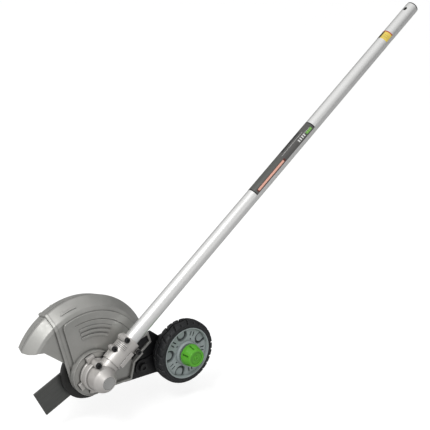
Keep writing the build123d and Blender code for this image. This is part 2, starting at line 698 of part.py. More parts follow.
def wheel_hub():
    """Moulded hub: five spokes, and between them deep pockets with a round-ended pad in each."""
    web_near = 3.0
    web_far = 14.0
    pocket_floor = 12.0
    pad_near = 6.0
    boss_r = 21.0
    lip_near = WHEEL_NEAR_Y - 0.5
    hub = turned([
        (lip_near, RIM_R - 1.8), (lip_near, RIM_R), (WHEEL_FAR_Y - 1, RIM_R), (WHEEL_FAR_Y - 1, RIM_R - 3.5),
        (web_far, RIM_R - 3.5), (web_far, 15), (WHEEL_FAR_Y - 0.6, 15), (WHEEL_FAR_Y - 0.6, 11), (-4.6, 11),
        (-4.6, 15), (-3.0, 15.6), (-3.0, boss_r), (1.0, boss_r + 1.5), (web_near, boss_r + 1.8),
        (web_near, RIM_R - 3.2),
    ])
    step = 360 / POCKETS
    inside_rim = Circle(RIM_R - 3.3)
    for index in range(POCKETS):
        spoke_turn = Rot(0, 0, SPOKE_ANGLE + index * step)
        pocket_turn = Rot(0, 0, SPOKE_ANGLE + (index + 0.5) * step)
        pocket = (pocket_turn * pocket_outline(11.5, 37.5)) & inside_rim
        pad = (pocket_turn * pocket_outline(7.5, 38.5)) & Circle(RIM_R - 2.5)
        hub -= slab(pocket, web_near - 1, pocket_floor)
        hub += slab(pad, pad_near, pocket_floor + 1)
        hub -= slab(spoke_turn * Pos(37, 0) * Circle(7.0), web_near + 6.5, web_far + 1)
        hub -= slab(spoke_turn * Pos(26.5, 0) * Rectangle(3.0, 3.0), web_near - 1, web_near + 4)
        for side in (-1, 1):
            slot = spoke_turn * Pos(37, side * 3.4) * SlotOverall(9, 2.2)
            hub -= slab(slot, web_near - 1, web_near + 4.5)
    return at_wheel(hub)


def hub_bushes():
    near = turned([(-4.4, SLEEVE_R + RUNNING_FIT), (-4.4, 11), (5, 11), (5, SLEEVE_R + RUNNING_FIT)])
    far = turned([(16, SLEEVE_R + RUNNING_FIT), (16, 11), (26.2, 11), (26.2, SLEEVE_R + RUNNING_FIT)])
    return Compound(children=[at_wheel(near), at_wheel(far)])


def tyre():
    ring = turned([
        (WHEEL_NEAR_Y + 0.8, RIM_R), (WHEEL_NEAR_Y, RIM_R + 1.2), (WHEEL_NEAR_Y, TYRE_SHOULDER_R - 2.5),
        (WHEEL_NEAR_Y + 2.0, TYRE_SHOULDER_R), (WHEEL_NEAR_Y + 8.0, TYRE_R - 1),
        (WHEEL_NEAR_Y + 14.25, TYRE_R), (WHEEL_FAR_Y - 8.0, TYRE_R - 1), (WHEEL_FAR_Y - 2.0, TYRE_SHOULDER_R),
        (WHEEL_FAR_Y, TYRE_SHOULDER_R - 2.5), (WHEEL_FAR_Y, RIM_R + 1.2), (WHEEL_FAR_Y - 0.8, RIM_R),
    ])
    cut = Box(5.0, 12, 3.0)
    for index in range(TREAD_BLOCKS):
        angle = index * 360 / TREAD_BLOCKS
        ring -= Rot(0, angle, 0) * Pos(TYRE_R, WHEEL_NEAR_Y + 3, 0) * cut
        ring -= Rot(0, angle + 180 / TREAD_BLOCKS, 0) * Pos(TYRE_R, WHEEL_FAR_Y - 3, 0) * cut
    return at_wheel(ring)


# ---------------------------------------------------------------- knob
KNOB_BACK_Y = -8.1
KNOB_FRONT_Y = -30.0
KNOB_FLUTES = 8


def depth_knob():
    knob = turned([
        (KNOB_BACK_Y, 0), (KNOB_BACK_Y, 20.5), (-10.5, 21), (-27, 18), (KNOB_FRONT_Y, 16),
        (KNOB_FRONT_Y, 12.5), (-28.6, 11.5), (-28.6, 0),
    ])
    for index in range(KNOB_FLUTES):
        flute = disc(-40, -12.5, 2.4, *around(0, 0, index * 360 / KNOB_FLUTES, 20.5))
        knob -= flute
    knob -= disc(-26, 0, 8.5)
    return at_wheel(knob)


def knob_insert():
    near = KNOB_BACK_Y - 17.9
    insert = disc(near, KNOB_BACK_Y, 8.5) - disc(near - 1, KNOB_BACK_Y + 1, AXLE_R + RUNNING_FIT)
    return at_wheel(insert)


# ---------------------------------------------------------------- pieces and files
def main_label():
    return label_sleeve(MAIN_LABEL_START, MAIN_LABEL_END)


def insertion_label():
    top = SHAFT_LENGTH - INSERT_DEPTH
    return label_sleeve(top - YELLOW_LABEL_LENGTH, top)


def main_bearing():
    return ring_bearing(11.5, 19.5, SHAFT_R + RUNNING_FIT, MAIN_BEARING_R)


def nose_bearing():
    return ring_bearing(-26.0, -20.2, 3.0 + RUNNING_FIT, NOSE_BEARING_R)


def case_plug():
    """Pressed-in plug with a dished face."""
    return turned([(-31.2, 0), (-31.2, 2.5), (-31.6, 6.0), (-32.1, 8.7), (-32.4, PLUG_R - 1.0),
                   (-32.4, PLUG_R - 0.4), (-32.0, PLUG_R), (PLUG_BACK_Y, PLUG_R), (PLUG_BACK_Y, 0)])


PIECES = {
    "shaft_tube": shaft_tube,
    "end_bushing": end_bushing,
    "shaft_support_bushes": support_bushes,
    "shaft_label": main_label,
    "insertion_label": insertion_label,
    "drive_shaft": drive_shaft,
    "pinion_gear": pinion_gear,
    "pinion_bearings": pinion_bearings,
    "pinion_circlip": circlip,
    "gear_case": gear_case,
    "gear_case_plug": case_plug,
    "shaft_clamp_cover": clamp_cover,
    "clamp_screws": clamp_screws,
    "grease_screw": grease_screw,
    "gear_case_bolts": case_bolts,
    "main_bearing": main_bearing,
    "nose_bearing": nose_bearing,
    "oil_seal": oil_seal,
    "output_shaft": output_shaft,
    "gear_key": gear_key,
    "driven_gear": driven_gear,
    "inner_blade_cup": inner_cup,
    "blade": blade,
    "outer_blade_cup": outer_cup,
    "blade_nut": blade_nut,
    "guard_shell": guard_shell,
    "front_guard_extension": front_extension,
    "extension_screws": extension_screws,
    "depth_plate": depth_plate,
    "plate_bolts": plate_bolts,
    "pivot_bolt": pivot_bolt,
    "pivot_nut": pivot_nut,
    "wheel_arm": wheel_arm,
    "axle_bolt": axle_bolt,
    "axle_sleeve": axle_sleeve,
    "knob_washer": knob_washer,
    "wheel_hub": wheel_hub,
    "hub_bushes": hub_bushes,
    "tyre": tyre,
    "depth_knob": depth_knob,
    "knob_insert": knob_insert,
}

os.makedirs("parts", exist_ok=True)
for node_name, make in PIECES.items():
    export_step(HEAD * make(), f"parts/{node_name}.step")
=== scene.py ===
import json
import math

import bmesh
import bpy
from mathutils import Matrix, Vector


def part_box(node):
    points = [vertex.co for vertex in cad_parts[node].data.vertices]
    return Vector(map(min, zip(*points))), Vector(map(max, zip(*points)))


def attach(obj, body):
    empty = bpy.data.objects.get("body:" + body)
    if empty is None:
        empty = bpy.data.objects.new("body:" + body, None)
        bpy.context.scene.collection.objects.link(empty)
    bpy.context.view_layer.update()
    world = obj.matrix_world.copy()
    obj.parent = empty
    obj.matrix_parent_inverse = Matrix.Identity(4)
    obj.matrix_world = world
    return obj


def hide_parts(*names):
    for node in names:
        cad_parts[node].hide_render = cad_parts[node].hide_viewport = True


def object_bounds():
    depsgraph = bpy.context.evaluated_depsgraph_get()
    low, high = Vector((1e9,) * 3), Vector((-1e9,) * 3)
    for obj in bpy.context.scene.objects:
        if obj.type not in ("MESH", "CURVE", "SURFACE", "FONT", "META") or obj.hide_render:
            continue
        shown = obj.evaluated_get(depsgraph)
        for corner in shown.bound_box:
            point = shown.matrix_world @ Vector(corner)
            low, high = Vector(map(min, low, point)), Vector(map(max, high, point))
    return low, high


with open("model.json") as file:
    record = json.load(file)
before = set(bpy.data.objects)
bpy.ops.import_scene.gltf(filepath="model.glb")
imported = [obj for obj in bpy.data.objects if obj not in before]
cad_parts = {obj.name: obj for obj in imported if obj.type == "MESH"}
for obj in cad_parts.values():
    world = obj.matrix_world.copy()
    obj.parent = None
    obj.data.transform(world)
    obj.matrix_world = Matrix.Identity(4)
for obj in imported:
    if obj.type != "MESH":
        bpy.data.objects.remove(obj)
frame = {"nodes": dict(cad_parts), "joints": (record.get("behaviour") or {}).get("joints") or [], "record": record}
CAD_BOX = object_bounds()

MM = 0.001

# Camera: degrees round and above the part, metres to the aim point and from the head to it.
CAMERA_AZIMUTH = -38.4
CAMERA_ELEVATION = 16.8
CAMERA_DISTANCE = 1.4409
AIM_RIGHT = 0.2092
AIM_UP = 0.2753
AIM_Y = 0.0154
LENS_MM = 69.35

# Studio: metres, watts and strengths.
FLOOR_HALF = 60.0
WHEEL_DROP = 0.034
FLOOR_GLOW = 0.68
LIGHT_FROM = (-0.60, -0.12, 0.78)
LIGHT_SPAN = (-0.3, 0.85)
LIGHT_STRENGTH = (0.05, 0.82)
KEY_LAMP = {"offset": (-1.5, -0.65, 1.7), "power": 20, "width": 0.9}
FILL_LAMP = {"offset": (0.4, -2.0, 0.3), "power": 2.0, "width": 1.4}

# Shading: the part of each noise or mask that is spread over its whole range.
NOISE_SPAN = (0.3, 0.7)
CLOUD_SPAN = (0.35, 0.7)
CREASE_SPAN = (0.40, 0.92)
EDGE_SPAN = (0.88, 0.997)

# Degrees: the blade's lean, and where the films start and end round the tube, from above to the near side.
BLADE_ANGLE = 25.0
MAIN_FILM_TURN = (-210, 79)
YELLOW_FILM_TURN = (-200, 79)

# Points of a mesh closer than this many metres are one.
SAME_POINT = 1e-7

# ---------------------------------------------------------------- places taken from the frame
joints = {joint["name"]: joint for joint in frame["joints"]}
HEAD = Vector(joints["blade_spin"]["pos_m"])
UP_SHAFT = Vector(joints["drive_spin"]["axis"]).normalized()
WHEEL = Vector(joints["wheel_spin"]["pos_m"])
NEAR = Vector((0, -1, 0))
ABOVE_SHAFT = UP_SHAFT.cross(NEAR).normalized() * -1


# ---------------------------------------------------------------- camera
def camera():
    """Long lens at the front left of the gear case side, a little above."""
    azimuth = math.radians(CAMERA_AZIMUTH)
    elevation = math.radians(CAMERA_ELEVATION)
    back = Vector((
        math.sin(azimuth) * math.cos(elevation),
        -math.cos(azimuth) * math.cos(elevation),
        math.sin(elevation),
    ))
    right = Vector((math.cos(azimuth), math.sin(azimuth), 0))
    up = back.cross(right)
    aim = HEAD + Vector((0, AIM_Y, 0)) + right * AIM_RIGHT + up * AIM_UP
    data = bpy.data.cameras.new("camera")
    data.lens = LENS_MM
    data.sensor_width = 36
    data.clip_end = 50
    obj = bpy.data.objects.new("camera", data)
    bpy.context.scene.collection.objects.link(obj)
    turn = Matrix((right, up, back)).transposed().to_4x4()
    obj.matrix_world = Matrix.Translation(aim + back * CAMERA_DISTANCE) @ turn
    bpy.context.scene.camera = obj


# ---------------------------------------------------------------- node helpers
class Shader:
    """Small builder for one Principled material."""

    def __init__(self, name, color, metallic=0.0, roughness=0.5, **inputs):
        self.material = bpy.data.materials.new(name)
        self.material.use_nodes = True
        self.tree = self.material.node_tree
        self.bsdf = self.tree.nodes["Principled BSDF"]
        self.set("Base Color", (*color, 1))
        self.set("Metallic", metallic)
        self.set("Roughness", roughness)
        for key, value in inputs.items():
            self.set(key.replace("_", " "), value)
        self.coords = self.add("ShaderNodeTexCoord").outputs["Object"]
        self.normal = None

    def set(self, socket, value):
        self.bsdf.inputs[socket].default_value = value

    def add(self, kind, **settings):
        node = self.tree.nodes.new(kind)
        for key, value in settings.items():
            setattr(node, key, value)
        return node

    def link(self, source, target):
        self.tree.links.new(source, target)

    def noise(self, scale, detail=3.0, rough=0.55, vector=None):
        node = self.add("ShaderNodeTexNoise")
        node.inputs["Scale"].default_value = scale
        node.inputs["Detail"].default_value = detail
        node.inputs["Roughness"].default_value = rough
        self.link(vector or self.coords, node.inputs["Vector"])
        return node.outputs["Fac"]

    def stretched(self, axis, along, across):
        """Object coordinates scaled differently along one axis."""
        turn = axis.to_track_quat("Z", "Y").to_matrix().inverted().to_euler()
        rotate = self.add("ShaderNodeMapping", vector_type="POINT")
        rotate.inputs["Rotation"].default_value = turn
        self.link(self.coords, rotate.inputs["Vector"])
        scale = self.add("ShaderNodeMapping", vector_type="POINT")
        scale.inputs["Scale"].default_value = (across, across, along)
        self.link(rotate.outputs["Vector"], scale.inputs["Vector"])
        return scale.outputs["Vector"]

    def remap(self, value, low, high, start=0.0, end=1.0):
        """Spread start to end of a value over low to high."""
        node = self.add("ShaderNodeMapRange", clamp=True)
        for socket, number in zip(("From Min", "From Max", "To Min", "To Max"), (start, end, low, high)):
            node.inputs[socket].default_value = number
        self.link(value, node.inputs["Value"])
        return node.outputs["Result"]

    def mix(self, factor, first, second):
        node = self.add("ShaderNodeMix", data_type="RGBA")
        for socket, color in (("A", first), ("B", second)):
            target = [s for s in node.inputs if s.name == socket and s.type == "RGBA"][0]
            if isinstance(color, tuple):
                target.default_value = (*color, 1)
            else:
                self.link(color, target)
        self.link(factor, node.inputs["Factor"])
        return [s for s in node.outputs if s.type == "RGBA"][0]

    def bump(self, height, depth, strength):
        node = self.add("ShaderNodeBump")
        node.inputs["Strength"].default_value = strength
        node.inputs["Distance"].default_value = depth
        self.link(height, node.inputs["Height"])
        if self.normal is not None:
            self.link(self.normal, node.inputs["Normal"])
        self.normal = node.outputs["Normal"]
        self.link(self.normal, self.bsdf.inputs["Normal"])

    def edges(self, radius):
        """One near sharp edges, zero on open faces, the mask for painted edge highlights; also rounds the shading
        at them.
        """
        bevel = self.add("ShaderNodeBevel", samples=6)
        bevel.inputs["Radius"].default_value = radius
        geometry = self.add("ShaderNodeNewGeometry")
        dot = self.add("ShaderNodeVectorMath", operation="DOT_PRODUCT")
        self.link(bevel.outputs["Normal"], dot.inputs[0])
        self.link(geometry.outputs["Normal"], dot.inputs[1])
        if self.normal is None:
            self.normal = bevel.outputs["Normal"]
            self.link(self.normal, self.bsdf.inputs["Normal"])
        return self.remap(dot.outputs["Value"], 1.0, 0.0, *EDGE_SPAN)

    def open_faces(self, reach):
        """Zero in creases and narrow gaps, one on open faces: the mask for painted crease shade."""
        node = self.add("ShaderNodeAmbientOcclusion", samples=8)
        node.inputs["Distance"].default_value = reach
        return self.remap(node.outputs["AO"], 0.0, 1.0, *CREASE_SPAN)

    def math(self, operation, first, second=None, third=None):
        node = self.add("ShaderNodeMath", operation=operation)
        for index, value in enumerate((first, second, third)):
            if isinstance(value, (int, float)):
                node.inputs[index].default_value = value
            elif value is not None:
                self.link(value, node.inputs[index])
        return node.outputs["Value"]

    def component(self, axis):
        """Object coordinate measured along an axis."""
        node = self.add("ShaderNodeVectorMath", operation="DOT_PRODUCT")
        self.link(self.coords, node.inputs[0])
        node.inputs[1].default_value = axis
        return node.outputs["Value"]

    def on_tube(self):
        """Millimetres down from the tube's top end, and degrees round it from above to the near side."""
        down = self.math("MULTIPLY", self.component(UP_SHAFT), -1 / MM)
        angle = self.math("ARCTAN2", self.component(NEAR), self.component(ABOVE_SHAFT))
        return down, self.math("MULTIPLY", angle, 180 / math.pi)

    def patch(self, down, turn, down_range, turn_range):
        """One inside a rectangle of the tube's surface, zero outside."""
        inside = []
        for value, (low, high) in ((down, down_range), (turn, turn_range)):
            inside.append(self.math("COMPARE", value, (low + high) / 2, (high - low) / 2))
        return self.math("MULTIPLY", *inside)

    def color(self, source):
        self.link(source, self.bsdf.inputs["Base Color"])

    def rough(self, source):
        self.link(source, self.bsdf.inputs["Roughness"])


# ---------------------------------------------------------------- materials
def satin_aluminium():
    """Clear-anodised tube with fine lines drawn along it."""
    s = Shader("satin_aluminium", (0.86, 0.86, 0.85), metallic=0.7, roughness=0.34)
    drawn = s.noise(1.0, 4.0, 0.6, s.stretched(UP_SHAFT, 6, 2600))
    cloud = s.noise(18.0, 3.0)
    s.rough(s.remap(cloud, 0.28, 0.38, *NOISE_SPAN))
    s.color(s.mix(s.remap(drawn, 0.0, 0.5, 0.35, 0.75), (0.90, 0.90, 0.89), (0.82, 0.82, 0.81)))
    s.bump(drawn, depth=0.00002, strength=0.5)
    return s.material


def cast_metal(name, light, dark, metallic, grain):
    """Silver-painted die casting with a fine orange-peel grain, painted highlights on its edges and painted shade
    in its creases.
    """
    s = Shader(name, light, metallic=metallic, roughness=0.45)
    edge = s.edges(radius=0.0010)
    cloud = s.noise(26.0, 4.0)
    base = s.mix(s.remap(cloud, 0.0, 1.0, *CLOUD_SPAN), light, dark)
    # Painted highlight along the edges, and painted shade darkening the creases.
    painted_highlight = tuple(min(1.0, value * 1.6) for value in light)
    crease_shade = tuple(value * 0.30 for value in dark)
    s.color(s.mix(s.open_faces(reach=0.005), crease_shade, s.mix(s.remap(edge, 0.0, 0.8), base, painted_highlight)))
    s.rough(s.remap(s.noise(90.0, 3.0), 0.36, 0.50, *NOISE_SPAN))
    s.bump(s.noise(grain, 2.0, 0.5), depth=0.00008, strength=0.5)
    return s.material


def painted_black(name, color, rough_range):
    """Powder coat or black oxide, with painted highlights lighter grey along its edges."""
    s = Shader(name, color, metallic=0.0, roughness=0.4)
    edge = s.edges(radius=0.0006)
    # Painted highlight: the edges are drawn lighter grey.
    edge_highlight = s.remap(edge, 0.0, 0.35)
    scuffs = s.remap(s.noise(60.0, 5.0, 0.7), 0.0, 0.25, 0.58, 0.75)
    highlight_tone = tuple(value + 0.10 for value in color)
    s.color(s.mix(edge_highlight, s.mix(scuffs, color, tuple(v + 0.04 for v in color)), highlight_tone))
    s.rough(s.remap(s.noise(120.0, 3.0), *rough_range, *NOISE_SPAN))
    s.bump(s.noise(900.0, 2.0), depth=0.00004, strength=0.4)
    return s.material


def blade_steel():
    """Dark painted spring steel with rolled grain and painted highlights on its corners."""
    s = Shader("blade_steel", (0.10, 0.105, 0.10), metallic=0.35, roughness=0.42)
    lean = math.radians(BLADE_ANGLE)
    along = Vector((math.cos(lean), 0, math.sin(lean)))
    grain = s.noise(1.0, 4.0, 0.6, s.stretched(along, 30, 900))
    edge = s.edges(radius=0.0007)
    base = s.mix(s.remap(grain, 0.0, 1.0, *NOISE_SPAN), (0.085, 0.088, 0.084), (0.12, 0.122, 0.116))
    # Painted highlight: the corners are drawn lighter grey.
    s.color(s.mix(s.remap(edge, 0.0, 0.5), base, (0.30, 0.30, 0.29)))
    s.rough(s.remap(s.noise(70.0, 4.0), 0.34, 0.5, *NOISE_SPAN))
    s.bump(grain, depth=0.00003, strength=0.5)
    return s.material


def machined_steel(name="machined_steel", color=(0.55, 0.55, 0.54)):
    """Turned metal with fine rings."""
    s = Shader(name, color, metallic=1.0, roughness=0.3)
    rings = s.noise(1.0, 3.0, 0.6, s.stretched(Vector((0, 1, 0)), 1800, 40))
    s.rough(s.remap(rings, 0.22, 0.42, *NOISE_SPAN))
    s.bump(rings, depth=0.00002, strength=0.4)
    return s.material


def moulded(name, color, rough_range):
    """Moulded plastic: fine spark grain, slight colour drift, softened edges with painted highlights, painted
    shade in creases.
    """
    s = Shader(name, color, roughness=0.45)
    edge = s.edges(radius=0.0006)
    drift = s.remap(s.noise(30.0, 3.0), 0.0, 1.0, *CLOUD_SPAN)
    dark = tuple(value * 0.88 for value in color)
    # Painted highlight along the edges, and painted shade darkening the creases.
    highlight_tone = tuple(min(1.0, value * 1.15 + 0.01) for value in color)
    crease_shade = tuple(value * 0.35 for value in color)
    edge_highlight = s.mix(s.remap(edge, 0.0, 0.5), s.mix(drift, color, dark), highlight_tone)
    s.color(s.mix(s.open_faces(reach=0.006), crease_shade, edge_highlight))
    s.rough(s.remap(s.noise(150.0, 3.0), *rough_range, *NOISE_SPAN))
    s.bump(s.noise(1400.0, 2.0), depth=0.00003, strength=0.4)
    return s.material


def tyre_rubber():
    """Black rubber, dusty on its faces, with painted highlights in grey on the block edges and painted shade in
    the grooves.
    """
    s = Shader("tyre_rubber", (0.028, 0.029, 0.031), roughness=0.6)
    edge = s.edges(radius=0.0008)
    dust = s.remap(s.noise(45.0, 5.0, 0.65), 0.0, 0.5, 0.5, 0.8)
    base = s.mix(dust, (0.013, 0.014, 0.016), (0.030, 0.031, 0.033))
    # Painted highlight along the block edges, then painted shade darkening the grooves and creases.
    highlit_edges = s.mix(s.remap(edge, 0.0, 0.6), base, (0.16, 0.16, 0.165))
    s.color(s.mix(s.open_faces(reach=0.006), (0.004, 0.004, 0.005), highlit_edges))
    s.rough(s.remap(s.noise(200.0, 3.0), 0.45, 0.7, *NOISE_SPAN))
    s.bump(s.noise(1500.0, 2.0), depth=0.00005, strength=0.5)
    return s.material


def film(name, paint, patches, down_start):
    """Printed film on the tube.

    patches are (millimetres down the film, degrees round the tube, colour), each as (low, high).
    """
    s = Shader(name, paint, roughness=0.38, Coat_Weight=0.2)
    down, turn = s.on_tube()
    faded = tuple(value * 0.82 for value in paint)
    color = s.mix(s.remap(s.noise(55.0, 4.0, 0.6), 0.0, 1.0, *CLOUD_SPAN), paint, faded)
    for (low, high), turns, ink in patches:
        color = s.mix(s.patch(down, turn, (down_start + low, down_start + high), turns), color, ink)
    s.color(color)
    s.rough(s.remap(s.noise(140.0, 3.0), 0.32, 0.46, *NOISE_SPAN))
    s.bump(s.noise(500.0, 2.0), depth=0.00003, strength=0.3)
    return s.material


def dark_film(start, length):
    """Dark film: plain blocks and bars stand in for the printed matter."""
    white = (0.75, 0.75, 0.73)
    black = (0.012, 0.012, 0.012)
    orange = (0.88, 0.47, 0.36)
    brick = (0.10, 0.02, 0.015)
    green = (0.16, 0.42, 0.07)
    pale_green = (0.30, 0.62, 0.16)
    olive = (0.085, 0.088, 0.08)
    patches = [
        ((length * 0.53, length), (-140, 52), olive),
        ((length * 0.16, length * 0.46), (-38, 3), black),
        ((length * 0.14, length * 0.50), (22, 24), white),
        ((length * 0.05, length * 0.19), (42, 44), white),
        ((length * 0.50, length * 0.965), (48, 73), brick),
        ((length * 0.525, length * 0.95), (51, 69), orange),
        ((length * 0.035, length * 0.125), (46, 68), green),
    ]
    for row in range(4):
        top = length * (0.145 + 0.03 * row)
        patches.append(((top, top + length * 0.016), (40, 64), white))
    for row in range(3):
        top = length * (0.045 + 0.026 * row)
        patches.append(((top, top + length * 0.010), (49, 65), pale_green))
    for low, high in ((-1, 2.5), (length - 2.5, length + 1)):
        patches.append(((low, high), (-180, 180), black))
    return film("dark_label", (0.095, 0.092, 0.088), patches, start)


def yellow_film(start, length):
    """Yellow film with a red upper edge and two plain bars."""
    red = (0.50, 0.05, 0.02)
    near_black = (0.05, 0.04, 0.01)
    ochre = (0.62, 0.50, 0.10)
    red_width = 2.6
    patches = [
        ((-1, red_width), (-180, 180), red),
        ((red_width, length + 1), (-60, 2), near_black),
        ((length * 0.45, length * 0.52), (20, 60), ochre),
        ((length * 0.66, length * 0.73), (20, 60), ochre),
    ]
    return film("yellow_label", (0.90, 0.68, 0.12), patches, start)


def softbox_world():
    """White surroundings that light the part most from the upper left and least from below."""
    world = bpy.data.worlds.new("studio")
    world.use_nodes = True
    tree = world.node_tree
    background = tree.nodes["Background"]
    direction = tree.nodes.new("ShaderNodeTexCoord").outputs["Generated"]
    toward = tree.nodes.new("ShaderNodeVectorMath")
    toward.operation = "DOT_PRODUCT"
    toward.inputs[1].default_value = Vector(LIGHT_FROM).normalized()
    tree.links.new(direction, toward.inputs[0])
    glow = tree.nodes.new("ShaderNodeMapRange")
    for socket, number in zip(("From Min", "From Max", "To Min", "To Max"), (*LIGHT_SPAN, *LIGHT_STRENGTH)):
        glow.inputs[socket].default_value = number
    tree.links.new(toward.outputs["Value"], glow.inputs["Value"])
    seen = tree.nodes.new("ShaderNodeLightPath").outputs["Is Camera Ray"]
    strength = tree.nodes.new("ShaderNodeMath")
    strength.operation = "MAXIMUM"
    tree.links.new(glow.outputs["Result"], strength.inputs[0])
    tree.links.new(seen, strength.inputs[1])
    background.inputs["Color"].default_value = (1, 1, 1, 1)
    tree.links.new(strength.outputs["Value"], background.inputs["Strength"])
    bpy.context.scene.world = world


def studio():
    """Pale floor out to the horizon, below the wheel at its lowest, with two soft lamps."""
    low, high = CAD_BOX
    middle = (Vector(low) + Vector(high)) / 2
    corners = [(middle.x + a * FLOOR_HALF, middle.y + b * FLOOR_HALF, low[2] - WHEEL_DROP)
               for a, b in ((-1, -1), (1, -1), (1, 1), (-1, 1))]
    mesh = bpy.data.meshes.new("floor")
    mesh.from_pydata(corners, [], [(0, 1, 2, 3)])
    floor = bpy.data.objects.new("floor", mesh)
    bpy.context.scene.collection.objects.link(floor)
    s = Shader("floor_paint", (0.9, 0.9, 0.9), roughness=0.8)
    tone = s.remap(s.noise(1.5, 2.0), 0.0, 1.0, *NOISE_SPAN)
    s.color(s.mix(tone, (0.56, 0.56, 0.56), (0.54, 0.54, 0.54)))
    s.set("Emission Color", (1, 1, 1, 1))
    seen = s.add("ShaderNodeLightPath").outputs["Is Camera Ray"]
    s.link(s.math("MULTIPLY", seen, FLOOR_GLOW), s.bsdf.inputs["Emission Strength"])
    mesh.materials.append(s.material)
    softbox_world()

    def lamp(name, offset, power, width):
        data = bpy.data.lights.new(name, "AREA")
        data.shape = "DISK"
        data.size = width
        data.energy = power
        obj = bpy.data.objects.new(name, data)
        obj.location = middle + Vector(offset)
        obj.rotation_euler = (-Vector(offset)).to_track_quat("-Z", "Y").to_euler()
        bpy.context.scene.collection.objects.link(obj)

    lamp("key", **KEY_LAMP)
    lamp("fill", **FILL_LAMP)
    bpy.context.scene.view_settings.view_transform = "Standard"


# ---------------------------------------------------------------- mesh helpers
def finish_piece(name, mesh, material, body, replaced, sharp_degrees):
    """Shade the mesh, give it its material, make it an object, hang it on what it rides on and hide the part it
    stands for.
    """
    for polygon in mesh.polygons:
        polygon.use_smooth = True
    mesh.set_sharp_from_angle(angle=math.radians(sharp_degrees))
    mesh.materials.append(MATERIALS[material])
    piece = bpy.data.objects.new(name, mesh)
    bpy.context.scene.collection.objects.link(piece)
    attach(piece, body)
    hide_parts(replaced)


def closed_mesh(name, verts, faces):
    """Mesh with its doubled points merged and its faces turned outwards."""
    mesh = bpy.data.meshes.new(name)
    mesh.from_pydata(verts, [], faces)
    work = bmesh.new()
    work.from_mesh(mesh)
    bmesh.ops.remove_doubles(work, verts=work.verts, dist=SAME_POINT)
    bmesh.ops.recalc_face_normals(work, faces=work.faces)
    work.to_mesh(mesh)
    work.free()
    return mesh


def band_faces(sections, strips, count, edges):
    """Quads of the strips that join each section of count points to the next, edges of them to a strip."""
    faces = []
    for step in range(strips):
        after = (step + 1) % sections
        for index in range(edges):
            following = (index + 1) % count
            faces.append((step * count + index, step * count + following,
                          after * count + following, after * count + index))
    return faces


def turned_mesh(name, section_at, steps, ring):
    """Mesh turned about the wheel's axle. section_at(angle) lists (y, radius) in millimetres.

    A ring's section is a closed loop; otherwise its first and last points lie on the axis.
    """
    centre = Vector((WHEEL.x, 0, WHEEL.z))
    verts = []
    for step in range(steps):
        angle = 2 * math.pi * step / steps
        for y, radius in section_at(angle):
            verts.append(centre + Vector((radius * math.cos(angle), y, radius * math.sin(angle))) * MM)
    count = len(section_at(0.0))
    faces = band_faces(steps, steps, count, count if ring else count - 1)
    return closed_mesh(name, verts, faces)


def smooth_step(value, low, high):
    """Zero up to low, one from high on, with a smooth slope between."""
    share = min(1.0, max(0.0, (value - low) / (high - low)))
    return share * share * (3 - 2 * share)


def wave(value):
    """Triangle wave of period one, from -1 to 1."""
    return 4 * abs(value - math.floor(value) - 0.5) - 1


def nearest_gap(value, period):
    """Signed distance from value to the nearest multiple of period."""
    return value - period * round(value / period)


# ---------------------------------------------------------------- tyre
def tyre_piece():
    """Block tread: two staggered rows of raised blocks, a zigzag groove between, notched shoulders."""
    low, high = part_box("tyre")
    near, far = low[1] / MM, high[1] / MM
    top_r = (high[2] - low[2]) / 2 / MM
    hub_low, hub_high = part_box("wheel_hub")
    bead_r = (hub_high[2] - hub_low[2]) / 2 / MM
    middle = (near + far) / 2
    half = (far - near) / 2
    shoulder_r = top_r - 3.8
    crown_power = 4.2
    crown_points = 40
    blocks = 13
    steps_per_block = 36
    groove_half = 1.4
    groove_depth = 3.2
    zigzag = 2.2
    slant_share = 0.22
    notch_start, notch_full = half * 0.55, half * 0.68

    def crown(share):
        """Radius across the tread, share from -1 at the near shoulder to 1 at the far one."""
        return shoulder_r + (top_r - shoulder_r) * (1 - abs(share) ** crown_power)

    def from_groove(turn_in_blocks):
        """Millimetres round the tread to the nearest whole number of blocks."""
        return abs(nearest_gap(turn_in_blocks, 1.0)) * 2 * math.pi * top_r / blocks

    def cut(angle, y):
        """Depth cut into the crown: zigzag groove, slanted grooves across, shoulder notches."""
        across = y - middle
        turn_in_blocks = angle * blocks / (2 * math.pi)
        path = wave(turn_in_blocks) * zigzag
        side = -1 if across < path else 1
        depth = 1 - smooth_step(abs(across - path), groove_half - 0.7, groove_half + 0.3)
        slant = slant_share * side * abs(across) / half
        shifted = turn_in_blocks + (0.5 if side > 0 else 0.0) + slant
        depth = max(depth, 1 - smooth_step(from_groove(shifted), groove_half - 0.4, groove_half + 0.5))
        if abs(across) > notch_start:
            fade = smooth_step(abs(across), notch_start, notch_full)
            depth = max(depth, 0.8 * fade * (1 - smooth_step(from_groove(shifted + 0.5), 0.8, 1.9)))
        return groove_depth * depth

    def section(angle):
        points = [(near + 0.8, bead_r + 0.15), (near + 0.1, bead_r + 1.0), (near, bead_r + 2.2),
                  (near + 0.5, bead_r + 3.4), (near, bead_r + 4.4)]
        for index in range(crown_points + 1):
            share = -1 + 2 * index / crown_points
            y = middle + share * (half - 0.3)
            points.append((y, crown(share) - cut(angle, y)))
        points += [(far, bead_r + 4.4), (far - 0.5, bead_r + 3.4), (far, bead_r + 2.2),
                   (far - 0.1, bead_r + 1.0), (far - 0.8, bead_r + 0.15)]
        return points

    mesh = turned_mesh("tyre_tread", section, blocks * steps_per_block, True)
    finish_piece("tyre_tread", mesh, "tyre_rubber", "wheel", "tyre", 28)


